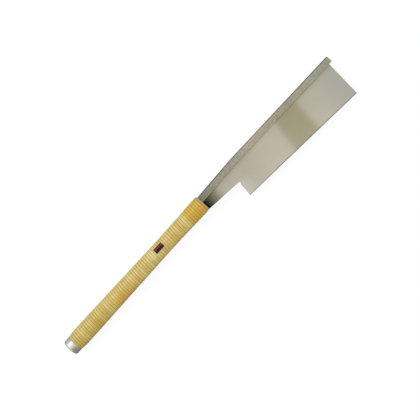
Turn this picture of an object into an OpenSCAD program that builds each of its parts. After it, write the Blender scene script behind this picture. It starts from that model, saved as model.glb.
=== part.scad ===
// Pull saw with a stiffened back: a thin toothed plate in a folded steel spine, which slides
// into a steel holder inside a wooden grip that is wound with cane.
// The origin is the centre of the butt face. X runs along the grip towards the tip,
// Y across the blade towards the spine, and Z up from the plate's middle plane.

/* [Grip] */
// Length of the handle, from the butt face to the mouth
handle_len = 321; // [290:1:360]
// Width of the wound grip at its swell near the butt
swell_w = 31.9; // [30:0.1:34]
// Distance of the swell from the butt face
swell_x = 27; // [24:1:40]
// Width of the wound grip at its waist
waist_w = 28.3; // [27.4:0.1:29.6]
// Distance of the waist from the butt face
waist_x = 237; // [200:1:245]
// Width of the wound grip at its mouth
mouth_w = 31.2; // [30.4:0.1:34]
// Thickness of the grip as a share of its width
grip_flat_share = 0.86; // [0.8:0.01:1]
// Length of bare wood in front of the cane
nose_len = 3; // [2.9:0.1:6]
// Radius of the nose's front edge
nose_edge_r = 2.4; // [0.5:0.1:2.8]
// Depth of the slot in the nose that takes the plate's neck
kerf_depth = 2.6; // [1.5:0.1:2.8]

/* [Cane winding] */
// Turns of cane on the grip
cane_turns = 67; // [50:1:68]
// Thickness of the cane
cane_t = 1.3; // [1:0.1:1.8]
// Gap between neighbouring turns
cane_gap = 0.5; // [0.45:0.05:0.8]

/* [End cap] */
// Length of the cap's skirt
cap_len = 13.2; // [11:0.1:18]
// Step from the cap's width up to the swell's
cap_step = 3.2; // [2.6:0.1:4.2]
// Radius of the cap's butt edge
cap_edge_r = 3.5; // [3:0.5:7]
// Wall of the cap's skirt
cap_wall = 1.6; // [1.2:0.1:2.4]
// Thickness of the cap's end
cap_floor = 3; // [2:0.1:5]

/* [Saw plate] */
// Length of the tooth line
blade_len = 240; // [180:1:300]
// Thickness of the plate
plate_t = 0.3; // [0.3:0.05:0.6]
// Distance of the heel from the mouth
heel_run = 61; // [55:0.5:70]
// Depth of the heel's corner below the grip's axis
heel_drop = 49.2; // [44:0.1:56]
// Length of the heel's edge
heel_h = 28.6; // [22:0.1:32]
// Lean of the heel's edge from square to the tooth line
heel_lean = 3; // [0:0.1:6]
// Radius of the round relief in the heel's notch
notch_r = 2.3; // [1.6:0.1:4]
// Depth of the relief's cut into the heel's edge
notch_cut = 1.2; // [0:0.1:1.5]
// Slope of the tooth line against the grip's axis
tooth_slope = 3.9; // [2:0.1:6]
// Pitch of the teeth
tooth_pitch = 1.2; // [1:0.05:2]
// Depth of the teeth
tooth_h = 1.1; // [0.8:0.05:1.6]
// Depth of the neck's lower edge below the grip's axis, at its end in the nose
neck_drop = 14.4; // [12:0.1:15.4]

/* [Spine] */
// Height of the spine's strip
spine_h = 11.7; // [10:0.1:13]
// Thickness of each leaf of the spine
leaf_t = 1.3; // [1:0.05:1.4]
// Solid depth of the fold above the plate
fold_h = 3; // [2.4:0.1:3.4]
// Height of the spine's bend above the grip's axis
bend_rise = 14.7; // [13.8:0.1:15.1]
// Distance of the bend from the mouth
bend_run = 81; // [72:1:88]
// Rise of the neck towards the bend
neck_rise = 1.6; // [1:0.1:2]
// Fall of the back from the bend to the tip
back_fall = 0.8; // [0:0.1:1.5]
// Overhang of the spine's tip past the plate
tip_over = 6; // [3:0.1:10]
// Radius of the tip's corners
tip_r = 2.2; // [1:0.1:3]

/* [Holder] */
// Length of the holder
holder_len = 74; // [66:1:85]
// Room in the holder behind the tang, which its pins cross
holder_back = 20; // [16:0.5:26]
// Thickness of the holder's sheet
holder_t = 1.2; // [1:0.1:1.5]
// Depth of the holder's lower edge below the spine's top
holder_drop = 19; // [18.5:0.1:20]
// Diameter of the stop pin
stop_pin_d = 3; // [2.5:0.1:3.4]
// Diameter of the pins that hold the holder in the wood
holder_pin_d = 3; // [2:0.1:4]

/* [Hidden] */
$fn = 64;

// Clearances and the overrun of cuts
overrun = 2;
plate_fit = 0.02;
plate_seat = 0.2;
blade_clear = 0.3;
tail_dress = 0.1;
holder_slack = 0.25;
pocket_fit = 0.1;
pin_fit = 0.02;
pin_slack = 0.3;
cap_fit = 0.05;
cane_clear = 0.3;
cane_seat = 0.15;

// The cane's rings in a turn, and its flat section with a narrower crown
cane_rings = 16;
cane_across_shares = [0, 1, 0.84, 0.16];
cane_up_shares = [0, 0, 1, 1];
cane_end_share = 0.25;
cane_start = cap_len + cane_clear;
cane_run = handle_len - nose_len - cane_clear - cane_start;
cane_pitch = (cane_run + cane_gap) / cane_turns;

// A tooth: steep face towards the grip, a short top bevel and a long back
tooth_along_shares = [0, 0.24, 0.42];
tooth_up_shares = [0, 1, 0.78];
tooth_count = floor(blade_len / tooth_pitch);

// Steps along the round of the notch
notch_steps = 10;

// The grip's nose stands a little inside the cane, and the grip tapers almost straight to its waist
nose_step = 1.2;
taper_power = 1.2;
edge_arc_step = 15;
grip_stations = 10;
swell_stations = 5;

// Width of the cap, and length of the tang inside the grip
cap_w = swell_w - cap_step;
tang_len = holder_len - holder_back;

// Thickness of the folded spine, of its dressed tail, and of the channel that holds the tail
spine_t = plate_t + 2 * plate_fit + 2 * leaf_t;
tail_t = spine_t - 2 * tail_dress;
channel_r = tail_t / 2 + holder_slack;
holder_r = channel_r + holder_t;
tail_trim = fold_h + plate_fit;
channel_top = tail_trim - blade_clear - channel_r + sqrt(pow(channel_r, 2) - pow(tail_t / 2, 2));
holder_top = channel_top - holder_t;
tang_drop = holder_drop - blade_clear;

// Places of the pins, in the neck's own directions
stop_pin_run = 8;
stop_pin_drop = (spine_h + tang_drop) / 2;
holder_pin_run = 8;
holder_pin_drop_shares = [0.4, 0.8];
holder_pin_sink = 0.6;

// Reference points
bend = [handle_len + bend_run, bend_rise];
heel = [handle_len + heel_run, -heel_drop];
notch = heel + heel_h * across(-tooth_slope - heel_lean);
neck_end = [handle_len - kerf_depth + blade_clear, -neck_drop];
neck_len = bend_run / cos(neck_rise) - blade_clear;
tail_end = -neck_len - tang_len;
holder_front = -(bend_run + holder_drop * sin(neck_rise)) / cos(neck_rise);

// Directions along and across a line that rises by an angle
function along(rise) = [cos(rise), sin(rise)];
function across(rise) = [-sin(rise), cos(rise)];

// A point s along the neck from the bend (negative towards the grip), d below the spine's top
function neck_point(s, d) = bend + s * along(neck_rise) - d * across(neck_rise);

// A point s along the back from the bend, d below the spine's top
function back_point(s, d) = bend + s * along(-back_fall) - d * across(-back_fall);

// The bend of the line that lies d below the spine's top
function bend_corner(d) = neck_point(-d * tan((neck_rise + back_fall) / 2), d);

// A point s along the tooth line from the heel, h above it
function tooth_point(s, h) = heel + s * along(-tooth_slope) + h * across(-tooth_slope);

// Direction from one point to another
function toward(from, to) = (to - from) / norm(to - from);

// Points of a round of radius r in the corner p, which cuts into the side of a and ends along that of b
function round_in(p, a, b, r, cut) =
    let (
        u = toward(p, a),
        v = toward(p, b),
        out = (r * u + (r - cut) * v) / sin(acos(u * v)),
        centre = p + out,
        first = toward(out, (out * u + sqrt(cut * (2 * r - cut))) * u),
        last = toward(out, (out * v) * v),
        turn = sign(cross(first, last)) * acos(first * last)
    )
    [for (t = steps(0, turn, notch_steps)) centre + r * (cos(t) * first + sin(t) * [-first.y, first.x])];

// Where the toe's edge meets the plate's upper edge, and the spine's length from there
plate_top = fold_h + plate_seat;
lean = tooth_slope - back_fall;
toe_from_bend = tooth_point(blade_len, 0) - bend;
toe_rise = -(toe_from_bend * across(-back_fall) + plate_top) / cos(lean);
toe_run = toe_from_bend * along(-back_fall) + toe_rise * sin(lean);
back_len = toe_run + tip_over;

// Length and depth of bars that hold the whole spine, past its bend
spine_reach = back_len - tail_end + overrun;
spine_deep = spine_h + overrun + spine_reach * sin(neck_rise + back_fall);

// Width of the wound grip at a distance x from the butt face
function grip_w(x) =
    x < swell_x ? cap_w + (swell_w - cap_w) * sin(90 * (x - cap_len) / (swell_x - cap_len))
    : x < waist_x ? waist_w + (swell_w - waist_w) * pow((waist_x - x) / (waist_x - swell_x), taper_power)
    : waist_w + (mouth_w - waist_w) * pow((x - waist_x) / (handle_len - waist_x), taper_power);

// Radius of the wood under the flats of the cane
function core_r(x) = (grip_w(x) / 2 - cane_t) * cos(180 / cane_rings) - cane_seat;

// Evenly spaced distances from one place to another
function steps(from, to, count) = [for (i = [0 : count]) from + (to - from) * i / count];

// Half outline of the wooden core: radius, then distance from the butt face
nose_r = mouth_w / 2 - nose_step;
nose_x = handle_len - nose_len;
cap_bore_r = cap_w / 2 - cap_wall;
core_outline = concat(
    [[0, cap_floor], [cap_bore_r - cap_fit, cap_floor], [cap_bore_r - cap_fit, cap_len]],
    [for (x = steps(cap_len, swell_x, swell_stations)) [core_r(x), x + cane_clear]],
    [for (x = steps(swell_x, waist_x, grip_stations)) if (x > swell_x) [core_r(x), x]],
    [for (x = steps(waist_x, nose_x, grip_stations)) if (x > waist_x) [core_r(x), x]],
    [[nose_r, nose_x]],
    [for (a = [0 : edge_arc_step : 90])
        [nose_r, handle_len] + nose_edge_r * [cos(a) - 1, sin(a) - 1]],
    [[0, handle_len]]
);

// Half outline of the cap, which runs past the butt face, where it is cut flat
cap_edge_centre = [cap_w / 2 - cap_edge_r, cap_edge_r];
cap_outline = concat(
    [[0, -overrun], [cap_edge_centre.x, -overrun]],
    [for (a = [-90 : edge_arc_step : 0]) cap_edge_centre + cap_edge_r * [cos(a), sin(a)]],
    [[cap_w / 2, cap_len], [cap_bore_r, cap_len], [cap_bore_r, cap_floor], [0, cap_floor]]
);

// Corners of the cane's section at one ring, laid round the oval grip. The strip is cut to a
// taper in its first and last turn, so that its ends lie square to the cap and to the nose.
function cane_ring(i) =
    let (
        turn = i / cane_rings,
        back = cane_start + max(0, cane_pitch * (turn - 1)),
        front = cane_start + min(cane_run, cane_pitch * turn - cane_gap)
    )
    [
        for (k = [0 : cane_sides - 1])
            let (
                x = back + (front - back) * cane_across_shares[k],
                r = grip_w(x) / 2 - cane_t * (1 - cane_up_shares[k])
            )
            [x, r * cos(360 * turn), -grip_flat_share * r * sin(360 * turn)]
    ];

cane_sides = len(cane_up_shares);
cane_lead = ceil(cane_rings * cane_end_share);
cane_last = (cane_turns + 1) * cane_rings - 2 * cane_lead;
cane_points = [for (i = [0 : cane_last]) each cane_ring(i + cane_lead)];
cane_faces = concat(
    [[0, 1, 2], [0, 2, 3]],
    [for (i = [0 : cane_last - 1]) for (k = [0 : cane_sides - 1])
        let (a = i * cane_sides + k, b = i * cane_sides + (k + 1) % cane_sides)
        each [[a, a + cane_sides, b + cane_sides], [a, b + cane_sides, b]]],
    [[2, 1, 0] + cane_last * cane_sides * [1, 1, 1], [3, 2, 0] + cane_last * cane_sides * [1, 1, 1]]
);
cane_least_gap = min([
    for (i = [0 : cane_last - cane_rings])
        norm(cane_points[(i + cane_rings) * cane_sides] - cane_points[i * cane_sides + 1])
]);
echo(str("Least gap between turns of the cane: ", cane_least_gap, " mm"));

// Turns a section drawn across the neck or back into a bar along X
module bar(length) {
    rotate([90, 0, 90]) linear_extrude(length) children();
}

// Directions of the neck and of the back, from the bend
module along_neck() {
    translate([bend.x, bend.y, 0]) rotate([0, 0, neck_rise]) children();
}

module along_back() {
    translate([bend.x, bend.y, 0]) rotate([0, 0, -back_fall]) children();
}

// Section of the folded strip: a round top, and sides down to a depth
module fold_section(depth) {
    translate([-spine_t / 2, 0]) circle(d = spine_t);
    translate([-depth, -spine_t / 2]) square([depth - spine_t / 2, spine_t]);
}

// A slab of all that lies below the bent line at a depth under the spine's top
module below_line(depth, thickness) {
    linear_extrude(thickness, center = true) polygon([
        neck_point(tail_end - overrun, depth), bend_corner(depth), back_point(back_len + overrun, depth),
        back_point(back_len + overrun, spine_deep), neck_point(tail_end - overrun, spine_deep)
    ]);
}

// Rounded arch open below: the holder's outside, its inside and its pocket
module arch_section(top, r, drop) {
    translate([-top - r, 0]) circle(r = r);
    translate([-drop, -r]) square([drop - top - r, 2 * r]);
}

// A square corner with its round kept, to cut a round on a corner at the origin
module corner_cut(r, depth) {
    linear_extrude(depth, center = true) difference() {
        translate([-r, -r]) square(r + overrun);
        translate([-r, -r]) circle(r = r);
    }
}

// Thin toothed plate with its heel notch, neck, and forked tang
module saw_plate() {
    color("gainsboro") linear_extrude(plate_t, center = true) difference() {
        polygon(concat(
            [neck_point(tail_end, plate_top), bend_corner(plate_top), back_point(toe_run, plate_top)],
            [tooth_point(blade_len, 0)],
            [for (i = [tooth_count - 1 : -1 : 0]) for (k = [2 : -1 : 0])
                tooth_point((i + tooth_along_shares[k]) * tooth_pitch, tooth_h * (1 - tooth_up_shares[k]))],
            round_in(notch, heel, neck_end, notch_r, notch_cut),
            [neck_end, neck_point(-neck_len - kerf_depth, tang_drop), neck_point(tail_end, tang_drop)]
        ));
        translate(neck_point(tail_end, stop_pin_drop)) rotate(neck_rise) {
            translate([-overrun, -stop_pin_d / 2 - pin_slack])
                square([stop_pin_run + overrun, stop_pin_d + 2 * pin_slack]);
            translate([stop_pin_run, 0]) circle(r = stop_pin_d / 2 + pin_slack);
        }
    }
}

// Folded strip over the plate's upper edge. The fold is cut away on the tail, and its sides dressed
module spine() {
    color("darkgray") difference() {
        intersection() {
            along_neck() translate([tail_end, 0, 0]) bar(spine_reach) fold_section(spine_deep);
            along_back() translate([back_len - spine_reach, 0, 0]) bar(spine_reach) fold_section(spine_deep);
        }
        below_line(spine_h, 2 * spine_t);
        below_line(fold_h, plate_t + 2 * plate_fit);
        along_neck() translate([tail_end - overrun, -tail_trim, -spine_t])
            cube([tang_len + overrun, tail_trim + overrun, 2 * spine_t]);
        for (side = [0, 1]) mirror([0, 0, side]) along_neck()
            translate([tail_end - overrun, -spine_h - overrun, tail_t / 2])
                cube([tang_len + overrun, spine_h + 2 * overrun, spine_t]);
        along_back() translate([back_len, 0, 0]) corner_cut(tip_r, 2 * spine_t);
        along_back() translate([back_len, -spine_h, 0]) rotate(-90) corner_cut(tip_r, 2 * spine_t);
    }
}

// One strip of cane wound from the cap to the nose
module rattan_wrap() {
    color("burlywood") polyhedron(cane_points, cane_faces);
}

// A body of revolution along X, flattened to the grip's oval
module oval_turned() {
    scale([1, 1, grip_flat_share]) rotate([0, 90, 0]) rotate_extrude() children();
}

// The part of a body that lies above the plate's plane, from the butt face on
module upper_half() {
    intersection() {
        children();
        translate([0, -swell_w, 0]) cube([handle_len, 2 * swell_w, swell_w]);
    }
}

// Cap over the butt, with a rounded edge and a flat end
module end_cap() {
    color("silver") for (side = [0, 1])
        mirror([0, 0, side]) upper_half() oval_turned() polygon(cap_outline);
}

// Holes and pins that fix the holder, across the grip
module across_holder(d, depth) {
    for (share = holder_pin_drop_shares)
        along_neck() translate([holder_front - holder_len + holder_pin_run, -holder_drop * share, 0])
            cylinder(d = d, h = depth, center = true);
}

// Half of the wooden core, above the plate's plane, with half of the slot and of the holder's pocket
module grip_half() {
    difference() {
        upper_half() oval_turned() polygon(core_outline);
        translate([handle_len - kerf_depth, -swell_w, -overrun])
            cube([kerf_depth + overrun, swell_w, overrun + plate_t / 2 + blade_clear]);
        along_neck() translate([holder_front - holder_len - pocket_fit, 0, 0])
            bar(holder_len + pocket_fit + overrun)
                arch_section(holder_top - pocket_fit, holder_r + pocket_fit, holder_drop + pocket_fit);
        across_holder(holder_pin_d + 2 * pin_fit, 2 * swell_w);
    }
}

module grip_half_upper() {
    color("tan") grip_half();
}

module grip_half_lower() {
    color("peru") mirror([0, 0, 1]) grip_half();
}

// Steel sheet folded into a channel, open below, that grips the spine's tail
module blade_holder() {
    color("slategray") difference() {
        along_neck() translate([holder_front - holder_len, 0, 0]) bar(holder_len) difference() {
            arch_section(holder_top, holder_r, holder_drop);
            arch_section(channel_top, channel_r, holder_drop + overrun);
        }
        along_neck() translate([tail_end + stop_pin_run, -stop_pin_drop, 0])
            cylinder(d = stop_pin_d + 2 * pin_fit, h = 2 * holder_r + overrun, center = true);
        across_holder(holder_pin_d + 2 * pin_fit, 2 * holder_r + overrun);
    }
}

// Cross pin that the tang's fork slides over
module stop_pin() {
    color("dimgray") along_neck() translate([tail_end + stop_pin_run, -stop_pin_drop, 0])
        cylinder(d = stop_pin_d, h = 2 * holder_r, center = true);
}

// Pins through both halves of the wood and the holder
module holder_pins() {
    color("dimgray") intersection() {
        across_holder(holder_pin_d, 2 * swell_w);
        oval_turned() polygon([for (p = core_outline) [max(0, p.x - holder_pin_sink), p.y]]);
    }
}

saw_plate();
spine();
rattan_wrap();
end_cap();
grip_half_upper();
grip_half_lower();
blade_holder();
stop_pin();
holder_pins();
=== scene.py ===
# %% [markdown]
# # A pull saw with a cane-wound grip
# The saw is a thin polished plate in a folded steel spine, drawn out of a wooden grip that is wound
# with cane and capped at the butt. The CAD frame holds every piece at its real size, in metres. This
# lesson gives each surface its finish, and rebuilds the pieces whose fine shape the solids leave plain.

# %% Load the frame
import math

import bmesh
import bpy
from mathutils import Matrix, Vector


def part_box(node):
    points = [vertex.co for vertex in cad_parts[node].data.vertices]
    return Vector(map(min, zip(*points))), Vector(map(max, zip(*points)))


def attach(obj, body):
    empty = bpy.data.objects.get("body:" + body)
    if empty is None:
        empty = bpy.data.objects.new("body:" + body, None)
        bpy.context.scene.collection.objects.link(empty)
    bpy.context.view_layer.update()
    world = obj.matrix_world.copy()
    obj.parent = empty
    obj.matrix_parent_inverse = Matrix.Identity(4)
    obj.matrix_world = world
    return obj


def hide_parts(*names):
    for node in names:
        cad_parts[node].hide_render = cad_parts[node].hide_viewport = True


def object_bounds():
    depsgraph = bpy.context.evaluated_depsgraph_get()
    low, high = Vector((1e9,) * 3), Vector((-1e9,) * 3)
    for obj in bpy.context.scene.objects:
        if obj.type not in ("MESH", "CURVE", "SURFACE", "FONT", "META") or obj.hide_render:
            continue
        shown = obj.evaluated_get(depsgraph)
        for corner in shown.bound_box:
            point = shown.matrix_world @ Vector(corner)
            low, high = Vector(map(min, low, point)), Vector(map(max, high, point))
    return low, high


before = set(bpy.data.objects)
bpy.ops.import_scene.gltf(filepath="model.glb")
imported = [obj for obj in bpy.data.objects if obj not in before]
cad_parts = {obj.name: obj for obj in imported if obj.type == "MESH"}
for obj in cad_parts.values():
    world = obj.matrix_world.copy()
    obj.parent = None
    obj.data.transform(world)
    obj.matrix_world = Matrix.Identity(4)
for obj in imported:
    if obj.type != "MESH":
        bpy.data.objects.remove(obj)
cad_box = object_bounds()
scene = bpy.context.scene
scene.view_settings.view_transform = "Standard"
MM = 0.001
mouth_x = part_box("grip_half_upper")[1].x
print("CAD nodes:", ", ".join(sorted(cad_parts)))

# %% [markdown]
# ## Camera
# The picture was taken from straight above, with the saw's length rising from lower left to upper
# right. A long lens high above the bench keeps the outline free of perspective. The lens follows from
# the height and from the width of bench that the picture shows, so both stay real sizes.

# %% Camera
picture_width = 683.3 * MM
camera_height = 1.6
saw_rise = math.radians(47.7)
picture_centre = Vector((mouth_x - 1.2 * MM, -16.5 * MM, 0))

lens = bpy.data.cameras.new("camera")
lens.lens = lens.sensor_width * camera_height / picture_width
camera = bpy.data.objects.new("camera", lens)
camera.location = picture_centre + Vector((0, 0, camera_height))
camera.rotation_euler = (0, 0, -saw_rise)
scene.collection.objects.link(camera)
scene.camera = camera
print(f"lens {lens.lens:.1f} mm at {camera_height} m")

# %% [markdown]
# ## Node helpers
# Finishes and rule-made shapes are node trees. They could be linked by hand, socket by socket, but a
# formula is hard to read that way. So `put` adds a node and fills its inputs, and a `Field` is a number
# inside a tree that takes +, -, * and / as a plain number does.


# %% Nodes
def fill(tree, entry, value):
    """Sets an input to a plain value, or links it to a socket or a field."""
    value = value.socket if isinstance(value, Field) else value
    if isinstance(value, bpy.types.NodeSocket):
        tree.links.new(value, entry)
    else:
        entry.default_value = value


def put(tree, kind, inputs=None, **settings):
    """Adds a node with its settings, and fills its inputs by name or by place."""
    node = tree.nodes.new(kind)
    for name, value in settings.items():
        setattr(node, name, value)
    for name, value in (inputs or {}).items():
        fill(tree, node.inputs[name], value)
    return node


print("node helpers ready")


# %% Fields
class Field:
    """A number inside a node tree."""

    def __init__(self, tree, socket):
        self.tree = tree
        self.socket = socket

    def math(self, operation, *values):
        """A Math node on these values, of which at least one is a field of this tree."""
        node = put(self.tree, "ShaderNodeMath", dict(enumerate(values)), operation=operation)
        return Field(self.tree, node.outputs[0])

    def __add__(self, other):
        return self.math("ADD", self, other)

    def __sub__(self, other):
        return self.math("SUBTRACT", self, other)

    def __rsub__(self, other):
        return self.math("SUBTRACT", other, self)

    def __mul__(self, other):
        return self.math("MULTIPLY", self, other)

    def __truediv__(self, other):
        return self.math("DIVIDE", self, other)

    __radd__ = __add__
    __rmul__ = __mul__

    def power(self, exponent):
        """The value to a power, with its sign kept."""
        size = self.math("POWER", self.math("ABSOLUTE", self), exponent)
        return size * self.math("SIGN", self)

    def cosine(self):
        return self.math("COSINE", self)

    def sine(self):
        return self.math("SINE", self)

    def least(self, other):
        return self.math("MINIMUM", self, other)

    def most(self, other):
        return self.math("MAXIMUM", self, other)

    def between(self, low, high):
        """How far the value is from low to high, held from 0 to 1."""
        node = put(self.tree, "ShaderNodeMapRange", {0: self, 1: low, 2: high})
        return Field(self.tree, node.outputs[0])

    def band(self, start, full, last, end):
        """1 from full to last, fading to 0 at start and at end."""
        return self.between(start, full) * self.between(end, last)


print("fields ready")

# %% [markdown]
# ## Studio
# The saw lies on a white sweep under an even sky, with one softbox beyond the spine, towards the butt.
# The floor could be lit until it clips, but then the saw would clip too. So the floor's own white is
# seen in full only by the camera and by mirrors, through Light Path, with a part of it left to light
# the saw's flanks as a white bench does. The floor still darkens in the saw's shadow.


# %% Stage helpers
def seen_directly(tree):
    """1 for rays from the camera, from a mirror or through glass, and 0 for the rest."""
    path = put(tree, "ShaderNodeLightPath").outputs
    kinds = [Field(tree, path[name]) for name in ("Is Camera Ray", "Is Glossy Ray", "Is Transmission Ray")]
    return (kinds[0] + kinds[1] + kinds[2]).least(1.0)


def bare_material(name):
    """A material without any node, and its tree."""
    material = bpy.data.materials.new(name)
    material.use_nodes = True
    material.node_tree.nodes.clear()
    return material, material.node_tree


def board(name, corners, material):
    """A flat board through these corners, which is no part of the saw."""
    mesh = bpy.data.meshes.new(name)
    mesh.from_pydata(corners, [], [range(len(corners))])
    mesh.materials.append(material)
    flat = bpy.data.objects.new(name, mesh)
    scene.collection.objects.link(flat)
    return flat


def level(low, high, z):
    """The corners of a level rectangle between two points."""
    return [(low[0], low[1], z), (high[0], low[1], z), (high[0], high[1], z), (low[0], high[1], z)]


print("stage helpers ready")

# %% White sky and floor
floor_z = cad_box[0][2]
floor_half = 3.0
floor_albedo = 0.16
floor_white = 0.87
floor_bounce = 0.3
sky_fill = 0.77

sky = bpy.data.worlds.new("sky")
sky.use_nodes = True
tree = sky.node_tree
background = tree.nodes["Background"]
background.inputs["Color"].default_value = (1, 1, 1, 1)
fill(tree, background.inputs["Strength"], seen_directly(tree) * (1 - sky_fill) + sky_fill)
scene.world = sky

paper, tree = bare_material("white_sweep")
matt = put(tree, "ShaderNodeBsdfDiffuse", {"Color": (floor_albedo,) * 3 + (1,)})
white = seen_directly(tree) * (floor_white - floor_bounce) + floor_bounce
glow = put(tree, "ShaderNodeEmission", {"Strength": white})
both = put(tree, "ShaderNodeAddShader", {0: matt.outputs[0], 1: glow.outputs[0]})
put(tree, "ShaderNodeOutputMaterial", {"Surface": both.outputs[0]})
board("floor", level((-floor_half, -floor_half), (floor_half, floor_half), floor_z), paper)
print(f"floor at {floor_z / MM:.2f} mm")

# %% Softbox
softbox_place = Vector((-0.35, 1.15, 1.1))
softbox_target = Vector((0.16, 0, 0))
softbox_width = 1.5
softbox_watts = 10.5

lamp = bpy.data.lights.new("softbox", "AREA")
lamp.size = softbox_width
lamp.energy = softbox_watts
softbox = bpy.data.objects.new("softbox", lamp)
softbox.location = softbox_place
softbox.rotation_euler = (softbox_target - softbox_place).to_track_quat("-Z", "Y").to_euler()
scene.collection.objects.link(softbox)
print(f"softbox {softbox_width} m wide, {softbox_watts} W")

# %% [markdown]
# ## What the metal mirrors
# Polished metal shows its surroundings and little of its own. Seen from straight above, the flat plate
# shows the ceiling, and at the mouth the dark camera itself. The round cap and the fold of the spine
# show the bench on both sides, so a photographer lays grey flags there, without which their edges
# would melt into the white. Cards stand for all of these. They are seen by mirrors alone, so they throw
# no shadow and never cross a view. The nearer a card is, the crisper its mirrored edge, so the card for
# the ceiling's grey panel hangs lowest.

# %% Cards over the plate
card_height = 0.35
panel_height = 0.17
card_sides = (-60, 24)
lens_run = (-32, 13)
body_run = (13, 27)
panel_spots = [(159, -90), (214, -90), (224.5, 24), (178.5, 24)]
lens_black = (0.02, 0.015, 0.01)
body_grey = (0.345, 0.35, 0.285)
panel_grey = (0.75, 0.735, 0.61)


def card(name, corners, brightness):
    """A card of this brightness that only mirrors see."""
    finish, tree = bare_material(name)
    glow = put(tree, "ShaderNodeEmission", {"Color": (*brightness, 1)})
    put(tree, "ShaderNodeOutputMaterial", {"Surface": glow.outputs[0]})
    flat = board(name, corners, finish)
    for rays in ("camera", "diffuse", "shadow", "transmission"):
        setattr(flat, "visible_" + rays, False)
    print(f"{name}: brightness {brightness[0]}")


def over_plate(run, y, height=card_height):
    """Where a ray from the camera, mirrored at a plate point, reaches a height.

    The point is given in millimetres, by its run from the mouth and its y."""
    spot = Vector((mouth_x + run * MM, y * MM, 0))
    return spot + (spot - picture_centre) * (height / camera_height) + Vector((0, 0, height))


for name, run, brightness in (("lens_card", lens_run, lens_black), ("body_card", body_run, body_grey)):
    low, high = (over_plate(run[i], card_sides[i]) for i in (0, 1))
    card(name, level(low, high, card_height), brightness)
card("ceiling_card", [over_plate(*spot, panel_height) for spot in panel_spots], panel_grey)

# %% Flags beside the saw
flag_gap = 18 * MM
flag_reach = 130 * MM
flag_z = floor_z + 0.2 * MM
low_top = 0.12
high_top = 0.35
cap_ends = (-0.25, 0.05)
handle_ends = (-0.25, mouth_x)
blade_ends = (mouth_x, 0.8)
butt_ends = (handle_ends[0], -flag_gap / 3)
pale_flag = (0.6, 0.6, 0.57)
black_flag = (0.1, 0.1, 0.09)
palm_grey = (0.28, 0.28, 0.26)
palm_warm = (0.36, 0.33, 0.26)
butt_grey = (0.2, 0.2, 0.19)


def upright(ends, y, top):
    """The corners of a board that stands on the floor along the saw."""
    return [(ends[0], y, floor_z), (ends[1], y, floor_z), (ends[1], y, top), (ends[0], y, top)]


def apron(ends, near, far):
    """The corners of a sheet on the floor along the saw."""
    return level((ends[0], near), (ends[1], far), flag_z)


card("grip_apron", apron(handle_ends, flag_gap, flag_reach), pale_flag)
card("grip_flag", upright(handle_ends, flag_reach, low_top), pale_flag)
card("spine_apron", apron(blade_ends, flag_gap, flag_reach), black_flag)
card("spine_flag", upright(blade_ends, flag_reach, low_top), black_flag)
card("palm_apron", apron(handle_ends, -flag_reach, -flag_gap), palm_grey)
card("palm_flag", upright(cap_ends, -flag_reach, high_top), palm_warm)
card("butt_apron", apron(butt_ends, -flag_gap, flag_gap), butt_grey)

# %% [markdown]
# ## Finishes
# Each finish starts from one Principled shader. What is the same all over is set on its sockets, and
# only what changes over the surface comes from nodes. Patterns read Object coordinates, which are the
# saw's own, so they stay on the piece in every view and pose. Places on the saw are read in
# millimetres, so that a zone in a finish can be written as it is measured on the saw.


# %% Finish helpers
def new_finish(name, **sockets):
    """A material with one Principled shader, its sockets set by name with _ for a space."""
    finish = bpy.data.materials.new(name)
    finish.use_nodes = True
    shader = finish.node_tree.nodes["Principled BSDF"]
    for socket, value in sockets.items():
        shader.inputs[socket.replace("_", " ")].default_value = value
    return finish, finish.node_tree, shader


def object_place(tree, scale=(1, 1, 1)):
    """The point on the saw, stretched by a scale."""
    place = put(tree, "ShaderNodeTexCoord").outputs["Object"]
    return put(tree, "ShaderNodeMapping", {"Vector": place, "Scale": scale}).outputs[0]


def object_xy(tree):
    """The point's x from the butt and its y from the grip's axis, in millimetres."""
    place = put(tree, "ShaderNodeSeparateXYZ", {0: object_place(tree)})
    return [Field(tree, place.outputs[i]) / MM for i in (0, 1)]


def noise(tree, vector, scale=1.0, detail=3.0):
    """Soft random values around a half."""
    entries = {"Vector": vector, "Scale": scale, "Detail": detail}
    return Field(tree, put(tree, "ShaderNodeTexNoise", entries).outputs["Fac"])


def tint(tree, factor, first, second):
    """A colour from first to second as the factor goes from 0 to 1."""
    node = put(tree, "ShaderNodeMix", data_type="RGBA", clamp_factor=True)
    fill(tree, node.inputs["Factor"], factor)
    for entry, colour in zip([i for i in node.inputs if i.type == "RGBA"], (first, second)):
        fill(tree, entry, (*colour, 1) if isinstance(colour, tuple) else colour)
    return [o for o in node.outputs if o.type == "RGBA"][0]


def bump(tree, shader, height, distance, strength):
    """Raises the surface by a height field."""
    entries = {"Height": height, "Distance": distance, "Strength": strength}
    fill(tree, shader.inputs["Normal"], put(tree, "ShaderNodeBump", entries).outputs[0])


print("finish helpers ready")

# %% [markdown]
# ## Blade: plate and teeth
# The plate is ground and polished spring steel, 0.3 mm thick, with a fine row of teeth whose tips are
# hardened dark. On the real saw each tooth is filed with a bevel and bent a hair to one side, and its
# neighbour to the other. The solid's flat teeth could stay, but they would look stamped. So the plate
# is cut along the root line, and one filed tooth is repeated along it by Geometry Nodes, mirrored
# through the plate's plane at every second place.

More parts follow.
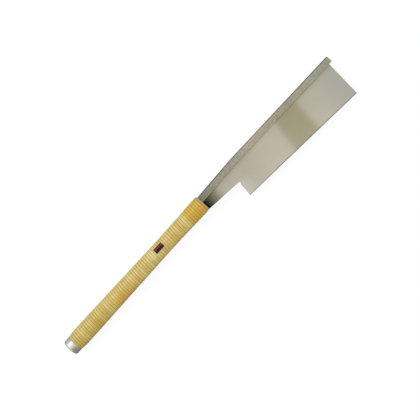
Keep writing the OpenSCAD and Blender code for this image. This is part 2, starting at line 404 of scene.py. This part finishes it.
# %% Tooth line
tooth_slope = math.radians(3.9)
heel = Vector((mouth_x + 61 * MM, -49.2 * MM, 0))
tooth_along = Vector((math.cos(tooth_slope), -math.sin(tooth_slope), 0))
tooth_up = Vector((math.sin(tooth_slope), math.cos(tooth_slope), 0))
tooth_pitch = 1.2 * MM
tooth_count = 200
tooth_depth = 1.1 * MM
root_overlap = 0.02 * MM
root_line = heel + tooth_up * (tooth_depth + root_overlap)
plate_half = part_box("saw_plate")[1].z
tooth_set = 0.05 * MM
cutting_side_shares = [(0, 0), (0.24, 1), (0.42, 0.78), (1, 0)]
bevelled_side_shares = [(0.1, 0), (0.36, 0.84), (0.42, 0.7), (0.92, 0)]
print(f"tooth line {tooth_count * tooth_pitch / MM:.0f} mm long")


# %% One filed tooth
def filed_side(form, shares, height):
    """One side of a tooth at the heel, at a height over the plate's middle, with its tip bent up."""
    return [
        form.verts.new(
            root_line + tooth_along * a * tooth_pitch - tooth_up * u * (tooth_depth + root_overlap)
            + Vector((0, 0, height + tooth_set * u))
        )
        for a, u in shares
    ]


def filed_tooth():
    """A tooth at the heel: its cutting side up, its bevelled side down."""
    form = bmesh.new()
    cutting = filed_side(form, cutting_side_shares, plate_half)
    bevelled = filed_side(form, bevelled_side_shares, -plate_half)
    form.faces.new(cutting)
    form.faces.new(bevelled)
    for i in range(len(cutting)):
        j = (i + 1) % len(cutting)
        form.faces.new((cutting[i], cutting[j], bevelled[j], bevelled[i]))
    bmesh.ops.recalc_face_normals(form, faces=form.faces)
    mesh = bpy.data.meshes.new("tooth")
    form.to_mesh(mesh)
    form.free()
    return mesh


tooth = filed_tooth()
print(f"a tooth has {len(tooth.polygons)} faces")

# %% [markdown]
# A tree's sizes are its named inputs. `grown` sets them by identifier before the tree first runs, and
# keeps the result as a plain mesh, because the export drops live instances.


# %% Geometry Nodes helpers
def geometry_tree(name, sizes):
    """A tree with a geometry input and one named input for each size."""
    tree = bpy.data.node_groups.new(name, "GeometryNodeTree")
    tree.interface.new_socket("Geometry", in_out="INPUT", socket_type="NodeSocketGeometry")
    for label, value in sizes.items():
        kind = "NodeSocketInt" if isinstance(value, int) else "NodeSocketFloat"
        tree.interface.new_socket(label, in_out="INPUT", socket_type=kind)
    tree.interface.new_socket("Geometry", in_out="OUTPUT", socket_type="NodeSocketGeometry")
    return tree, put(tree, "NodeGroupInput").outputs


def keep_values(tree, geometry, values):
    """Stores named values on the mesh, for its finish to read."""
    for name, value in values.items():
        entries = {"Geometry": geometry, "Name": name, "Value": value}
        geometry = put(tree, "GeometryNodeStoreNamedAttribute", entries).outputs[0]
    return geometry


def finish_tree(tree, geometry, material):
    """Ends a tree: instances made real, one material, and the output."""
    real = put(tree, "GeometryNodeRealizeInstances", {0: geometry})
    dressed = put(tree, "GeometryNodeSetMaterial", {"Geometry": real.outputs[0], "Material": material})
    put(tree, "NodeGroupOutput", {0: dressed.outputs[0]})


def grown(name, tree, sizes, seed_mesh):
    """The tree's result on a seed mesh, as a plain mesh object."""
    host = bpy.data.objects.new(name, seed_mesh)
    scene.collection.objects.link(host)
    modifier = host.modifiers.new("grow", "NODES")
    modifier.node_group = tree
    for item in tree.interface.items_tree:
        if item.in_out == "INPUT" and item.name in sizes:
            modifier[item.identifier] = sizes[item.name]
    mesh = bpy.data.meshes.new_from_object(host.evaluated_get(bpy.context.evaluated_depsgraph_get()))
    host.modifiers.remove(modifier)
    host.data = mesh
    print(f"{name}: {len(mesh.polygons)} faces")
    return host


print("geometry helpers ready")

# %% [markdown]
# The plate's steel is warm grey, clouded by its polish, and cooler near the toe. Painted reflection
# darkens it in slow waves along the blade, towards the spine and at the neck. Its file-hard teeth are
# darker, and it is darker along its outer edges. Painted shade lies along the spine's lower edge, as a
# thin line in a wider soft band that is lighter over one stretch, and a painted shadow lies at the
# mouth. A painted image could hold all of this, but it would blur close up. The marks follow the
# plate's outline, so the finish measures how far a point lies from each of its lines.

# %% Lines of the blade
spine_bend = Vector((mouth_x + 81 * MM, 14.7 * MM, 0))
spine_depth = 11.7
neck_fall = math.tan(math.radians(1.6))
back_fall = math.tan(math.radians(0.8))
heel_top = heel + Vector((3.4, 28.4, 0)) * MM
neck_end = Vector((mouth_x - 2.3 * MM, -14.4 * MM, 0))
toe = heel + tooth_along * tooth_count * tooth_pitch


def left_of(x, y, start, end):
    """How many millimetres a point lies to the left of the line from start to end."""
    way = (end - start).normalized()
    return (y - start.y / MM) * way.x - (x - start.x / MM) * way.y


def below_top(x, y):
    """How many millimetres a point lies below the spine's top line, bend and all."""
    past_bend = x - spine_bend.x / MM
    fall = (past_bend * -neck_fall).most(past_bend * back_fall)
    return spine_bend.y / MM - fall - y


def slow_wave(run, crest, length):
    """A wave along the blade, which is 0 at its crest and 1 in its trough."""
    return ((run - crest) * (2 * math.pi / length)).cosine() * -0.5 + 0.5


print(f"toe at {toe.x / MM:.1f}, {toe.y / MM:.1f} mm")

# %% Plate steel
plate_bright = (0.555, 0.525, 0.43)
plate_shade = (0.455, 0.425, 0.33)
plate_toe = (0.4, 0.395, 0.345)
plate_heel = (0.57, 0.55, 0.485)
tooth_blue = (0.07, 0.07, 0.07)
seam_painted_shade = (0.22, 0.19, 0.13)
mouth_painted_shadow = (0.03, 0.025, 0.012)
plate_edge_dark = (0.27, 0.27, 0.26)

plate_steel, tree, shader = new_finish("polished_plate", Metallic=1.0)
x, y = object_xy(tree)
run = x - mouth_x / MM
over_teeth = left_of(x, y, heel, toe)
from_heel = left_of(x, y, heel_top, heel)
over_neck = left_of(x, y, neck_end, heel_top)
from_edge = from_heel.most(over_neck).least(left_of(x, y, toe, toe + tooth_up))
under_seam = below_top(x, y) - spine_depth
cloud = noise(tree, object_place(tree), scale=18, detail=2).between(0.35, 0.65)
grinding = noise(tree, object_place(tree, (60, 2400, 2400)), detail=2)
wave = slow_wave(run, 147, 112)
upper = over_teeth.between(0, 45)
neck = from_heel.between(4, -12)
heel_light = from_heel.between(20, 3) * over_teeth.between(34, 20)
seam_shade_eased = run.band(95, 135, 205, 235)
hardened = over_teeth.between(2.4, 1.1) * (0.6 + run.between(60, 150) * 0.3)
# Painted reflection: the slow wave and the darkening towards the spine and at the neck stand for what the
# plate mirrors. The cloud is its polish.
steel = tint(tree, wave * 0.5 + cloud * 0.3 + upper * 0.4 + neck * 0.3, plate_bright, plate_shade)
steel = tint(tree, heel_light * 0.8, steel, plate_heel)
steel = tint(tree, run.between(223, 290) * 0.9, steel, plate_toe)
# Painted shade along the spine's lower edge: a wide soft band and a thin dark line, both lighter over one
# stretch of the run.
steel = tint(tree, under_seam.between(9, 2) * (0.27 - seam_shade_eased * 0.2), steel, seam_painted_shade)
steel = tint(tree, under_seam.between(2.4, 0.4) * (0.8 - seam_shade_eased * 0.2), steel, seam_painted_shade)
# Darker along the plate's outer edges.
steel = tint(tree, from_edge.between(1.6, 0.5) * 0.4, steel, plate_edge_dark)
# Painted shadow on the plate just in front of the mouth.
steel = tint(tree, run.between(8, 2) * 0.9, steel, mouth_painted_shadow)
steel = tint(tree, grinding.between(0.4, 0.7) * 0.2, steel, plate_shade)
fill(tree, shader.inputs["Base Color"], tint(tree, hardened, steel, tooth_blue))
fill(tree, shader.inputs["Roughness"], 0.1 + grinding * 0.05 + hardened * 0.2)
bump(tree, shader, grinding, 0.002 * MM, 0.5)
print("plate steel ready")

# %% Row of teeth
row_sizes = {"Teeth": tooth_count, "Pitch": tooth_pitch, "Slope": tooth_slope}
tree, size = geometry_tree("tooth_row", row_sizes)
pitch, slope = Field(tree, size["Pitch"]), Field(tree, size["Slope"])
step = put(tree, "ShaderNodeCombineXYZ", {"X": pitch * slope.cosine(), "Y": pitch * slope.sine() * -1})
row = put(tree, "GeometryNodeMeshLine", {"Count": size["Teeth"], "Offset": step.outputs[0]}, mode="OFFSET")
number = Field(tree, put(tree, "GeometryNodeInputIndex").outputs[0])
side = 1 - number.math("MODULO", number, 2.0) * 2
turned = put(tree, "ShaderNodeCombineXYZ", {"X": 1.0, "Y": 1.0, "Z": side})
teeth = put(tree, "GeometryNodeInstanceOnPoints", {
    "Points": row.outputs[0], "Instance": size["Geometry"], "Scale": turned.outputs[0],
})
finish_tree(tree, teeth.outputs[0], plate_steel)
tooth_row = grown("tooth_row", tree, row_sizes, tooth)


# %% Plate cut along the roots, with the teeth set on it
def merged_copy(node):
    """A copy of a CAD node's mesh with its loose triangles joined."""
    form = bmesh.new()
    form.from_mesh(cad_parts[node].data)
    bmesh.ops.remove_doubles(form, verts=form.verts, dist=0.001 * MM)
    return form


def show(name, form, finish):
    """A finished piece from a form."""
    mesh = bpy.data.meshes.new(name)
    form.to_mesh(mesh)
    form.free()
    mesh.materials.append(finish)
    piece = bpy.data.objects.new(name, mesh)
    scene.collection.objects.link(piece)
    print(f"{name}: {len(mesh.polygons)} faces")
    return piece


form = merged_copy("saw_plate")
everything = form.verts[:] + form.edges[:] + form.faces[:]
bmesh.ops.bisect_plane(form, geom=everything, plane_co=root_line, plane_no=tooth_up, clear_inner=True)
bmesh.ops.holes_fill(form, edges=[e for e in form.edges if e.is_boundary])
form.from_mesh(tooth_row.data)
bmesh.ops.recalc_face_normals(form, faces=form.faces)
bpy.data.objects.remove(tooth_row)
plate = show("polished_plate", form, plate_steel)
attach(plate, "blade")
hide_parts("saw_plate")

# %% [markdown]
# ## Spine
# The spine is a strip folded over the plate and pressed. Its solid is right in shape, but a solid's
# edges are perfectly sharp, and no bent sheet is. A copy has the outside edges broken with a small
# bevel, which draws the thin bright and dark lines that tell the eye it is steel. Its finish is duller
# than the plate's and mottled by the press. Painted reflection shades it in a slow wave along its
# length and darkens it towards the mouth, where it mirrors the dark camera, and painted shade darkens
# the top of its fold.

# %% Spine steel
spine_bright = (0.47, 0.44, 0.335)
spine_shade = (0.29, 0.275, 0.205)
spine_mottle_and_reflection = (0.22, 0.205, 0.145)
spine_toe = (0.335, 0.335, 0.27)
fold_painted_shade = (0.14, 0.14, 0.125)

spine_steel, tree, shader = new_finish("folded_spine", Metallic=1.0)
x, y = object_xy(tree)
run = x - mouth_x / MM
streak = noise(tree, object_place(tree, (1500, 60, 1500)))
cloud = noise(tree, object_place(tree), scale=30)
mottle = noise(tree, object_place(tree), scale=360, detail=2)
patchy = (streak * 0.2 + cloud * 0.2 + mottle * 0.6).between(0.41, 0.59)
wave = slow_wave(run, 140, 140)
toe_end = run.between(190, 300)
fold_shade_amount = 0.2 + run.between(130, 40) * 0.7
# The slow wave along the spine is painted reflection. The patches are its mottle.
steel = tint(tree, patchy * 0.6 + wave * 0.35, spine_bright, spine_shade)
steel = tint(tree, toe_end * 0.8, steel, spine_toe)
steel = tint(tree, patchy * toe_end * 0.3, steel, spine_mottle_and_reflection)
# Painted reflection of the dark camera, darkening the spine towards the mouth.
steel = tint(tree, run.between(56, 0) * 0.75, steel, spine_mottle_and_reflection)
# Painted shade on the top of the fold, strongest near the mouth.
steel = tint(tree, below_top(x, y).between(2.6, 1.4) * fold_shade_amount, steel, fold_painted_shade)
fill(tree, shader.inputs["Base Color"], steel)
fill(tree, shader.inputs["Roughness"], 0.26 + streak * 0.12)
bump(tree, shader, streak, 0.004 * MM, 0.6)
print("spine steel ready")

# %% Spine with broken edges
spine_break = 0.25 * MM
tail_length = 2 * MM
flat_limit = math.radians(0.3)
sharp = math.radians(40)


def broken_edges(form, width, keep):
    """Bevels the outer sharp edges for which keep is true, and shades the rest smooth."""
    bmesh.ops.dissolve_limit(form, angle_limit=flat_limit, verts=form.verts, edges=form.edges)
    edges = [
        e for e in form.edges
        if e.is_manifold and e.is_convex and e.calc_face_angle() > sharp
        and keep((e.verts[0].co + e.verts[1].co) / 2)
    ]
    bmesh.ops.bevel(form, geom=edges, offset=width, segments=2, affect="EDGES", profile=0.5)
    for face in form.faces:
        face.smooth = True
    for edge in form.edges:
        edge.smooth = not edge.is_manifold or edge.calc_face_angle() < sharp


form = merged_copy("spine")
broken_edges(form, spine_break, lambda middle: middle.x > mouth_x + tail_length)
spine = show("folded_spine", form, spine_steel)
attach(spine, "blade")
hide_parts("spine")

# %% [markdown]
# ## Grip: the cane winding
# One strip of rattan peel is wound from the cap to the mouth. It could be a stack of rings, but then
# every turn would close on itself. The rule below is the real one: a strip that climbs by its pitch in
# each turn, laid on an oval grip that swells at the butt and narrows at the waist. A grid is bent to
# that rule by Geometry Nodes. Along the grid runs the turn, and across it the strip's rounded section.

# %% Grip sizes
cap_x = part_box("end_cap")[1].x
cane_low, cane_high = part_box("rattan_wrap")
cane_turns = 67
solid_gap = 0.5 * MM
grip_sizes = {
    "Turns": float(cane_turns),
    "Start": cane_low.x,
    "Run": cane_high.x - cane_low.x,
    "Pitch": (cane_high.x - cane_low.x + solid_gap) / cane_turns,
    "Gap": 0.16 * MM,
    "Thickness": 1.3 * MM,
    "Flatness": 0.86,
    "Cap at": cap_x,
    "Cap width": 28.7 * MM,
    "Swell at": 27 * MM,
    "Swell width": 31.9 * MM,
    "Waist at": 237 * MM,
    "Waist width": 28.3 * MM,
    "Mouth at": mouth_x,
    "Mouth width": 31.2 * MM,
}
taper_power = 1.2
print(f"pitch of the cane {grip_sizes['Pitch'] / MM:.2f} mm")


# %% The grip's form
def grip_radius(tree, size, x):
    """Half the wound grip's width at a distance x from the butt."""
    at = {label: Field(tree, size[label]) for label in grip_sizes}
    climb = x.between(at["Cap at"], at["Swell at"]) * (math.pi / 2)
    narrow = x.between(at["Waist at"], at["Swell at"]).power(taper_power)
    flare = x.between(at["Waist at"], at["Mouth at"]).power(taper_power)
    width = (
        at["Waist width"]
        + (at["Swell width"] - at["Waist width"]) * narrow
        + (at["Mouth width"] - at["Waist width"]) * flare
        - (at["Swell width"] - at["Cap width"]) * (1 - climb.sine())
    )
    return width * 0.5


def on_grip(tree, size, x, radius, turned):
    """The point at a radius of the oval grip, turned from the spine's side towards the underside."""
    flatness = Field(tree, size["Flatness"])
    entries = {"X": x, "Y": radius * turned.cosine(), "Z": radius * turned.sine() * flatness * -1}
    return put(tree, "ShaderNodeCombineXYZ", entries).outputs[0]


def wander(tree, turn, pace, offset):
    """A slow random value along the strip, about -0.5 to 0.5."""
    entries = {"W": turn * pace + offset, "Scale": 1.0, "Detail": 2.0}
    return Field(tree, put(tree, "ShaderNodeTexNoise", entries, noise_dimensions="1D").outputs["Fac"]) - 0.5


print("grip's form ready")

# %% Winding rule
rings_per_turn = 40
section_points = 15
lead_turns = 0.25
section_roundness = 0.72
strip_uneven = 0.16 * MM
merge_distance = 0.001 * MM
closed_end_share = 0.4999


def cane_rule(material):
    """The tree that bends a grid into the wound strip, closed at both ends."""
    tree, size = geometry_tree("cane_winding", grip_sizes)
    at = {label: Field(tree, size[label]) for label in grip_sizes}
    span = at["Turns"] + (1 - 2 * lead_turns)
    grid = put(tree, "GeometryNodeMeshGrid", {
        "Size X": span, "Size Y": 1.0,
        "Vertices X": cane_turns * rings_per_turn, "Vertices Y": section_points,
    })
    place = put(tree, "ShaderNodeSeparateXYZ", {0: put(tree, "GeometryNodeInputPosition").outputs[0]})
    along, round_section = Field(tree, place.outputs[0]), Field(tree, place.outputs[1])
    turn = along + (at["Turns"] + 1) * 0.5
    gap = at["Gap"] * (1 + wander(tree, turn, pace=0.83, offset=3.1) * 1.2)
    back = at["Start"] + ((turn - 1) * at["Pitch"]).most(0.0)
    front = at["Start"] + (turn * at["Pitch"] - gap).least(at["Run"])
    angle = round_section * (2 * math.pi)
    open_end = along.math("LESS_THAN", along.math("ABSOLUTE", along), span * closed_end_share)
    across = 0.5 + angle.cosine().power(section_roundness) * open_end * 0.5
    up = 0.5 + angle.sine().power(section_roundness) * open_end * 0.5
    x = back + (front - back) * across
    sunk = (wander(tree, turn, pace=0.61, offset=9.7) + 0.5) * strip_uneven
    radius = grip_radius(tree, size, x) - (1 - up) * at["Thickness"] - sunk
    point = on_grip(tree, size, x, radius, turn * (2 * math.pi))
    geometry = keep_values(tree, grid.outputs[0], {"wind": turn, "across": across, "up": up})
    bent = put(tree, "GeometryNodeSetPosition", {"Geometry": geometry, "Position": point})
    entries = {"Geometry": bent.outputs[0], "Distance": merge_distance}
    closed = put(tree, "GeometryNodeMergeByDistance", entries)
    smooth = put(tree, "GeometryNodeSetShadeSmooth", {"Geometry": closed.outputs[0]})
    finish_tree(tree, smooth.outputs[0], material)
    return tree


print(f"{rings_per_turn} rings in a turn, {section_points} points in a ring")

# %% [markdown]
# Cane peel is glossy straw that yellows to honey where hands have been at it: at the mouth, and in
# patches on the palm's side. Painted sheen greys its flank on the spine's side, painted shade darkens
# its flank on the palm's side, and one spot is paler. Its colour changes along the strip, so it
# drifts over a few turns, while fibres run with the strip. The grooves are darkened by dust and by
# painted shade, most on the spine's side, where painted highlights pale the crowns. Attributes
# stored by the rule carry the turn and the place across the strip.

# %% Cane colours
straw = (0.58, 0.42, 0.09)
pale_straw = (0.73, 0.58, 0.19)
olive_straw = (0.5, 0.41, 0.075)
pale_spot_straw = (0.74, 0.68, 0.3)
flank_sheen_straw = (0.6, 0.53, 0.3)
flank_shade_straw = (0.33, 0.26, 0.1)
gold = (0.64, 0.44, 0.03)
honey = (0.65, 0.36, 0.013)
fibre_brown = (0.5, 0.31, 0.04)
groove_dust_and_shade = (0.3, 0.2, 0.05)


def attribute(tree, name):
    """A value that a rule stored on the mesh."""
    return Field(tree, put(tree, "ShaderNodeAttribute", attribute_name=name).outputs["Fac"])


print("cane colours ready")

# %% Cane finish
cane, tree, shader = new_finish(
    "cane_peel", Roughness=0.45, Specular_IOR_Level=0.1, Coat_Weight=0.8, Coat_Roughness=0.24,
    Sheen_Weight=0.2, Sheen_Roughness=0.4,
)
wind, across, up = (attribute(tree, name) for name in ("wind", "across", "up"))
x, y = object_xy(tree)
drift = wander(tree, wind, pace=0.3, offset=52.0) + 0.5
greener = wander(tree, wind, pace=0.7, offset=40.0) + 0.5
patch = noise(tree, object_place(tree), scale=26, detail=2)
strip_place = put(tree, "ShaderNodeCombineXYZ", {"X": wind * 8, "Y": across * 38})
fibre = noise(tree, strip_place.outputs[0])
butt_zone = x.between(100, 50)
pale_zone = x.band(100, 170, 234, 261)
pale_spot = x.band(192, 198, 205, 211) * y.between(-6, -2)
golden_zone = x.band(234, 244, 270, 275)
pale_band = x.between(268, 275)
mouth_zone = x.between(281, 289)
palm_side = y.between(2, -9)
spine_side = y.between(1, 8) * (1 - mouth_zone)
handled = patch.between(0.44, 0.62) * (palm_side * 0.5 + 0.3) * (1 - butt_zone * 0.5)
mouth_colour = tint(tree, y.between(9, -7), gold, honey)
colour = tint(tree, drift.between(0.4, 0.6), straw, pale_straw)
colour = tint(tree, pale_zone * 0.4, colour, pale_straw)
colour = tint(tree, greener.between(0.5, 0.62) * 0.6, colour, olive_straw)
# Paler in one spot.
colour = tint(tree, pale_spot * 0.7, colour, pale_spot_straw)
colour = tint(tree, handled, colour, honey)
colour = tint(tree, butt_zone * 0.25, colour, olive_straw)
colour = tint(tree, golden_zone * (palm_side * 0.25 + 0.15), colour, gold)
colour = tint(tree, pale_band * 0.5, colour, pale_straw)
# Painted sheen on the flank on the spine's side.
colour = tint(tree, y.between(10.5, 14) * 0.35, colour, flank_sheen_straw)
# Painted shade on the flank on the palm's side.
colour = tint(tree, y.between(-11, -14) * 0.4, colour, flank_shade_straw)
colour = tint(tree, mouth_zone * 0.93, colour, mouth_colour)
colour = tint(tree, fibre.between(0.5, 0.72) * 0.35, colour, fibre_brown)
colour = tint(tree, fibre.between(0.46, 0.3) * (0.3 - mouth_zone * 0.22), colour, pale_straw)
# Painted highlight on the crowns on the spine's side.
colour = tint(tree, up.between(0.8, 1.0) * spine_side * 0.4, colour, pale_straw)
# Dust and painted shade in the grooves, stronger on the spine's side.
colour = tint(tree, up.between(0.75, 0.3) * (0.4 + spine_side * 0.35), colour, groove_dust_and_shade)
fill(tree, shader.inputs["Base Color"], colour)
bump(tree, shader, fibre, 0.04 * MM, 0.6)
print("cane finish ready")

# %% Winding
winding = grown("cane_winding", cane_rule(cane), grip_sizes, bpy.data.meshes.new("strip"))
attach(winding, "handle")
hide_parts("rattan_wrap")

# %% [markdown]
# ## Label
# A small paper label is stuck on the cane, over four turns. A flat decal would float over the grooves,
# so a grid follows the same grip rule, a little proud of the crowns, and dips where a groove runs
# under it. It is plain: a dark field with a cream margin and one red rule.

# %% Label rule
label_sizes = {
    "From": 209 * MM,
    "To": 228.5 * MM,
    "First angle": math.radians(54),
    "Last angle": math.radians(98),
    "Lift": 0.06 * MM,
    "Dip": 0.1 * MM,
}
label_columns = 64
label_rows = 24


def label_rule(material):
    """The tree that lays a grid on the winding."""
    tree, size = geometry_tree("label", grip_sizes | label_sizes)
    at = {label: Field(tree, size[label]) for label in grip_sizes | label_sizes}
    grid = put(tree, "GeometryNodeMeshGrid", {
        "Size X": 1.0, "Size Y": 1.0, "Vertices X": label_columns, "Vertices Y": label_rows,
    })
    place = put(tree, "ShaderNodeSeparateXYZ", {0: put(tree, "GeometryNodeInputPosition").outputs[0]})
    along, over = (Field(tree, place.outputs[i]) + 0.5 for i in (0, 1))
    x = at["From"] + (at["To"] - at["From"]) * along
    angle = at["First angle"] + (at["Last angle"] - at["First angle"]) * over
    groove = ((x - at["Start"]) / at["Pitch"]) * (2 * math.pi) + angle
    radius = grip_radius(tree, size, x) + at["Lift"] - at["Dip"] * (groove.cosine() * 0.5 + 0.5).power(2)
    point = on_grip(tree, size, x, radius, angle * -1)
    geometry = keep_values(tree, grid.outputs[0], {"along": along, "over": over})
    bent = put(tree, "GeometryNodeSetPosition", {"Geometry": geometry, "Position": point})
    finish_tree(tree, bent.outputs[0], material)
    return tree


label_length = (label_sizes["To"] - label_sizes["From"]) / MM
print(f"label {label_length:.1f} mm long")

# %% Label finish
label_width = 11.5
label_margin = 0.7
margin_blur = 0.1
charcoal = (0.012, 0.011, 0.009)
brick_red = (0.24, 0.026, 0.012)
cream = (0.7, 0.64, 0.48)

label_paper, tree, shader = new_finish("label_paper", Roughness=0.55, Specular_IOR_Level=0.12)
along, over = attribute(tree, "along"), attribute(tree, "over")
end_distance = along.least(1 - along) * label_length
side_distance = over.least(1 - over) * label_width
inside = end_distance.least(side_distance).between(label_margin - margin_blur, label_margin + margin_blur)
red_rule = over.band(0.2, 0.22, 0.48, 0.5)
fleck = noise(tree, object_place(tree), scale=2500)
colour = tint(tree, red_rule, charcoal, brick_red)
colour = tint(tree, fleck.between(0.6, 0.8) * 0.15, colour, cream)
fill(tree, shader.inputs["Base Color"], tint(tree, inside, cream, colour))
bump(tree, shader, fleck, 0.01 * MM, 0.4)
print("label paper ready")

# %% Label with a paper's thickness
label_thickness = 0.09 * MM

sheet = grown("label_sheet", label_rule(label_paper), grip_sizes | label_sizes, bpy.data.meshes.new("sheet"))
form = bmesh.new()
form.from_mesh(sheet.data)
bpy.data.objects.remove(sheet)
bmesh.ops.solidify(form, geom=form.faces[:], thickness=label_thickness)
bmesh.ops.recalc_face_normals(form, faces=form.faces)
for face in form.faces:
    face.smooth = True
label = show("paper_label", form, label_paper)
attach(label, "handle")

# %% [markdown]
# ## Butt cap
# The cap is spun metal with a polished, lightly handled face. Its solid has the right round edge, so
# the copy only loses the knife edge of its rim.

# %% Cap
cap_bright = (0.66, 0.655, 0.63)
cap_shade = (0.56, 0.555, 0.53)
rim_break = 0.3 * MM
rim_depth = 1 * MM

cap_metal, tree, shader = new_finish("cap_metal", Metallic=1.0)
rub = noise(tree, object_place(tree, (900, 200, 200)), detail=4)
smear = noise(tree, object_place(tree), scale=120)
fill(tree, shader.inputs["Base Color"], tint(tree, rub, cap_bright, cap_shade))
fill(tree, shader.inputs["Roughness"], 0.3 + smear * 0.16)
bump(tree, shader, rub, 0.004 * MM, 0.5)

form = merged_copy("end_cap")
broken_edges(form, rim_break, lambda middle: middle.x > cap_x - rim_depth)
cap = show("butt_cap", form, cap_metal)
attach(cap, "handle")
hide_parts("end_cap")

# %% [markdown]
# ## Wood, holder and pins
# The wooden core shows as a pale rim at the mouth, and its growth rings on the front face. Inside it
# sit the holder and the pins, which come into view when the blade is drawn. Their solids are right,
# so they stay, and only get their finishes.


# %% Wood
def dress(nodes, finish):
    """Gives CAD nodes a finish."""
    for node in nodes:
        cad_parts[node].data.materials[0] = finish
    print(f"{finish.name} on {', '.join(nodes)}")


wood_early = (0.52, 0.42, 0.24)
wood_late = (0.42, 0.32, 0.16)

wood, tree, shader = new_finish("sanded_softwood", Roughness=0.55)
ring = Field(tree, put(tree, "ShaderNodeTexWave", {
    "Vector": object_place(tree, (6, 260, 260)), "Scale": 0.9, "Distortion": 3.0, "Detail": 3.0,
}, wave_type="BANDS", bands_direction="Y").outputs["Fac"])
pore = noise(tree, object_place(tree, (120, 2600, 2600)))
fill(tree, shader.inputs["Base Color"], tint(tree, ring * 0.5 + pore * 0.4, wood_early, wood_late))
bump(tree, shader, pore, 0.05 * MM, 0.4)
dress(("grip_half_upper", "grip_half_lower"), wood)

# %% Holder and pins
sheet_bright = (0.3, 0.3, 0.3)
sheet_scale = (0.18, 0.18, 0.19)

rolled, tree, shader = new_finish("rolled_sheet", Metallic=1.0)
mill_scale = noise(tree, object_place(tree), scale=400, detail=4)
fill(tree, shader.inputs["Base Color"], tint(tree, mill_scale, sheet_bright, sheet_scale))
fill(tree, shader.inputs["Roughness"], 0.35 + mill_scale * 0.2)
dress(("blade_holder", "stop_pin", "holder_pins"), rolled)

# %% Done
print("saw dressed")
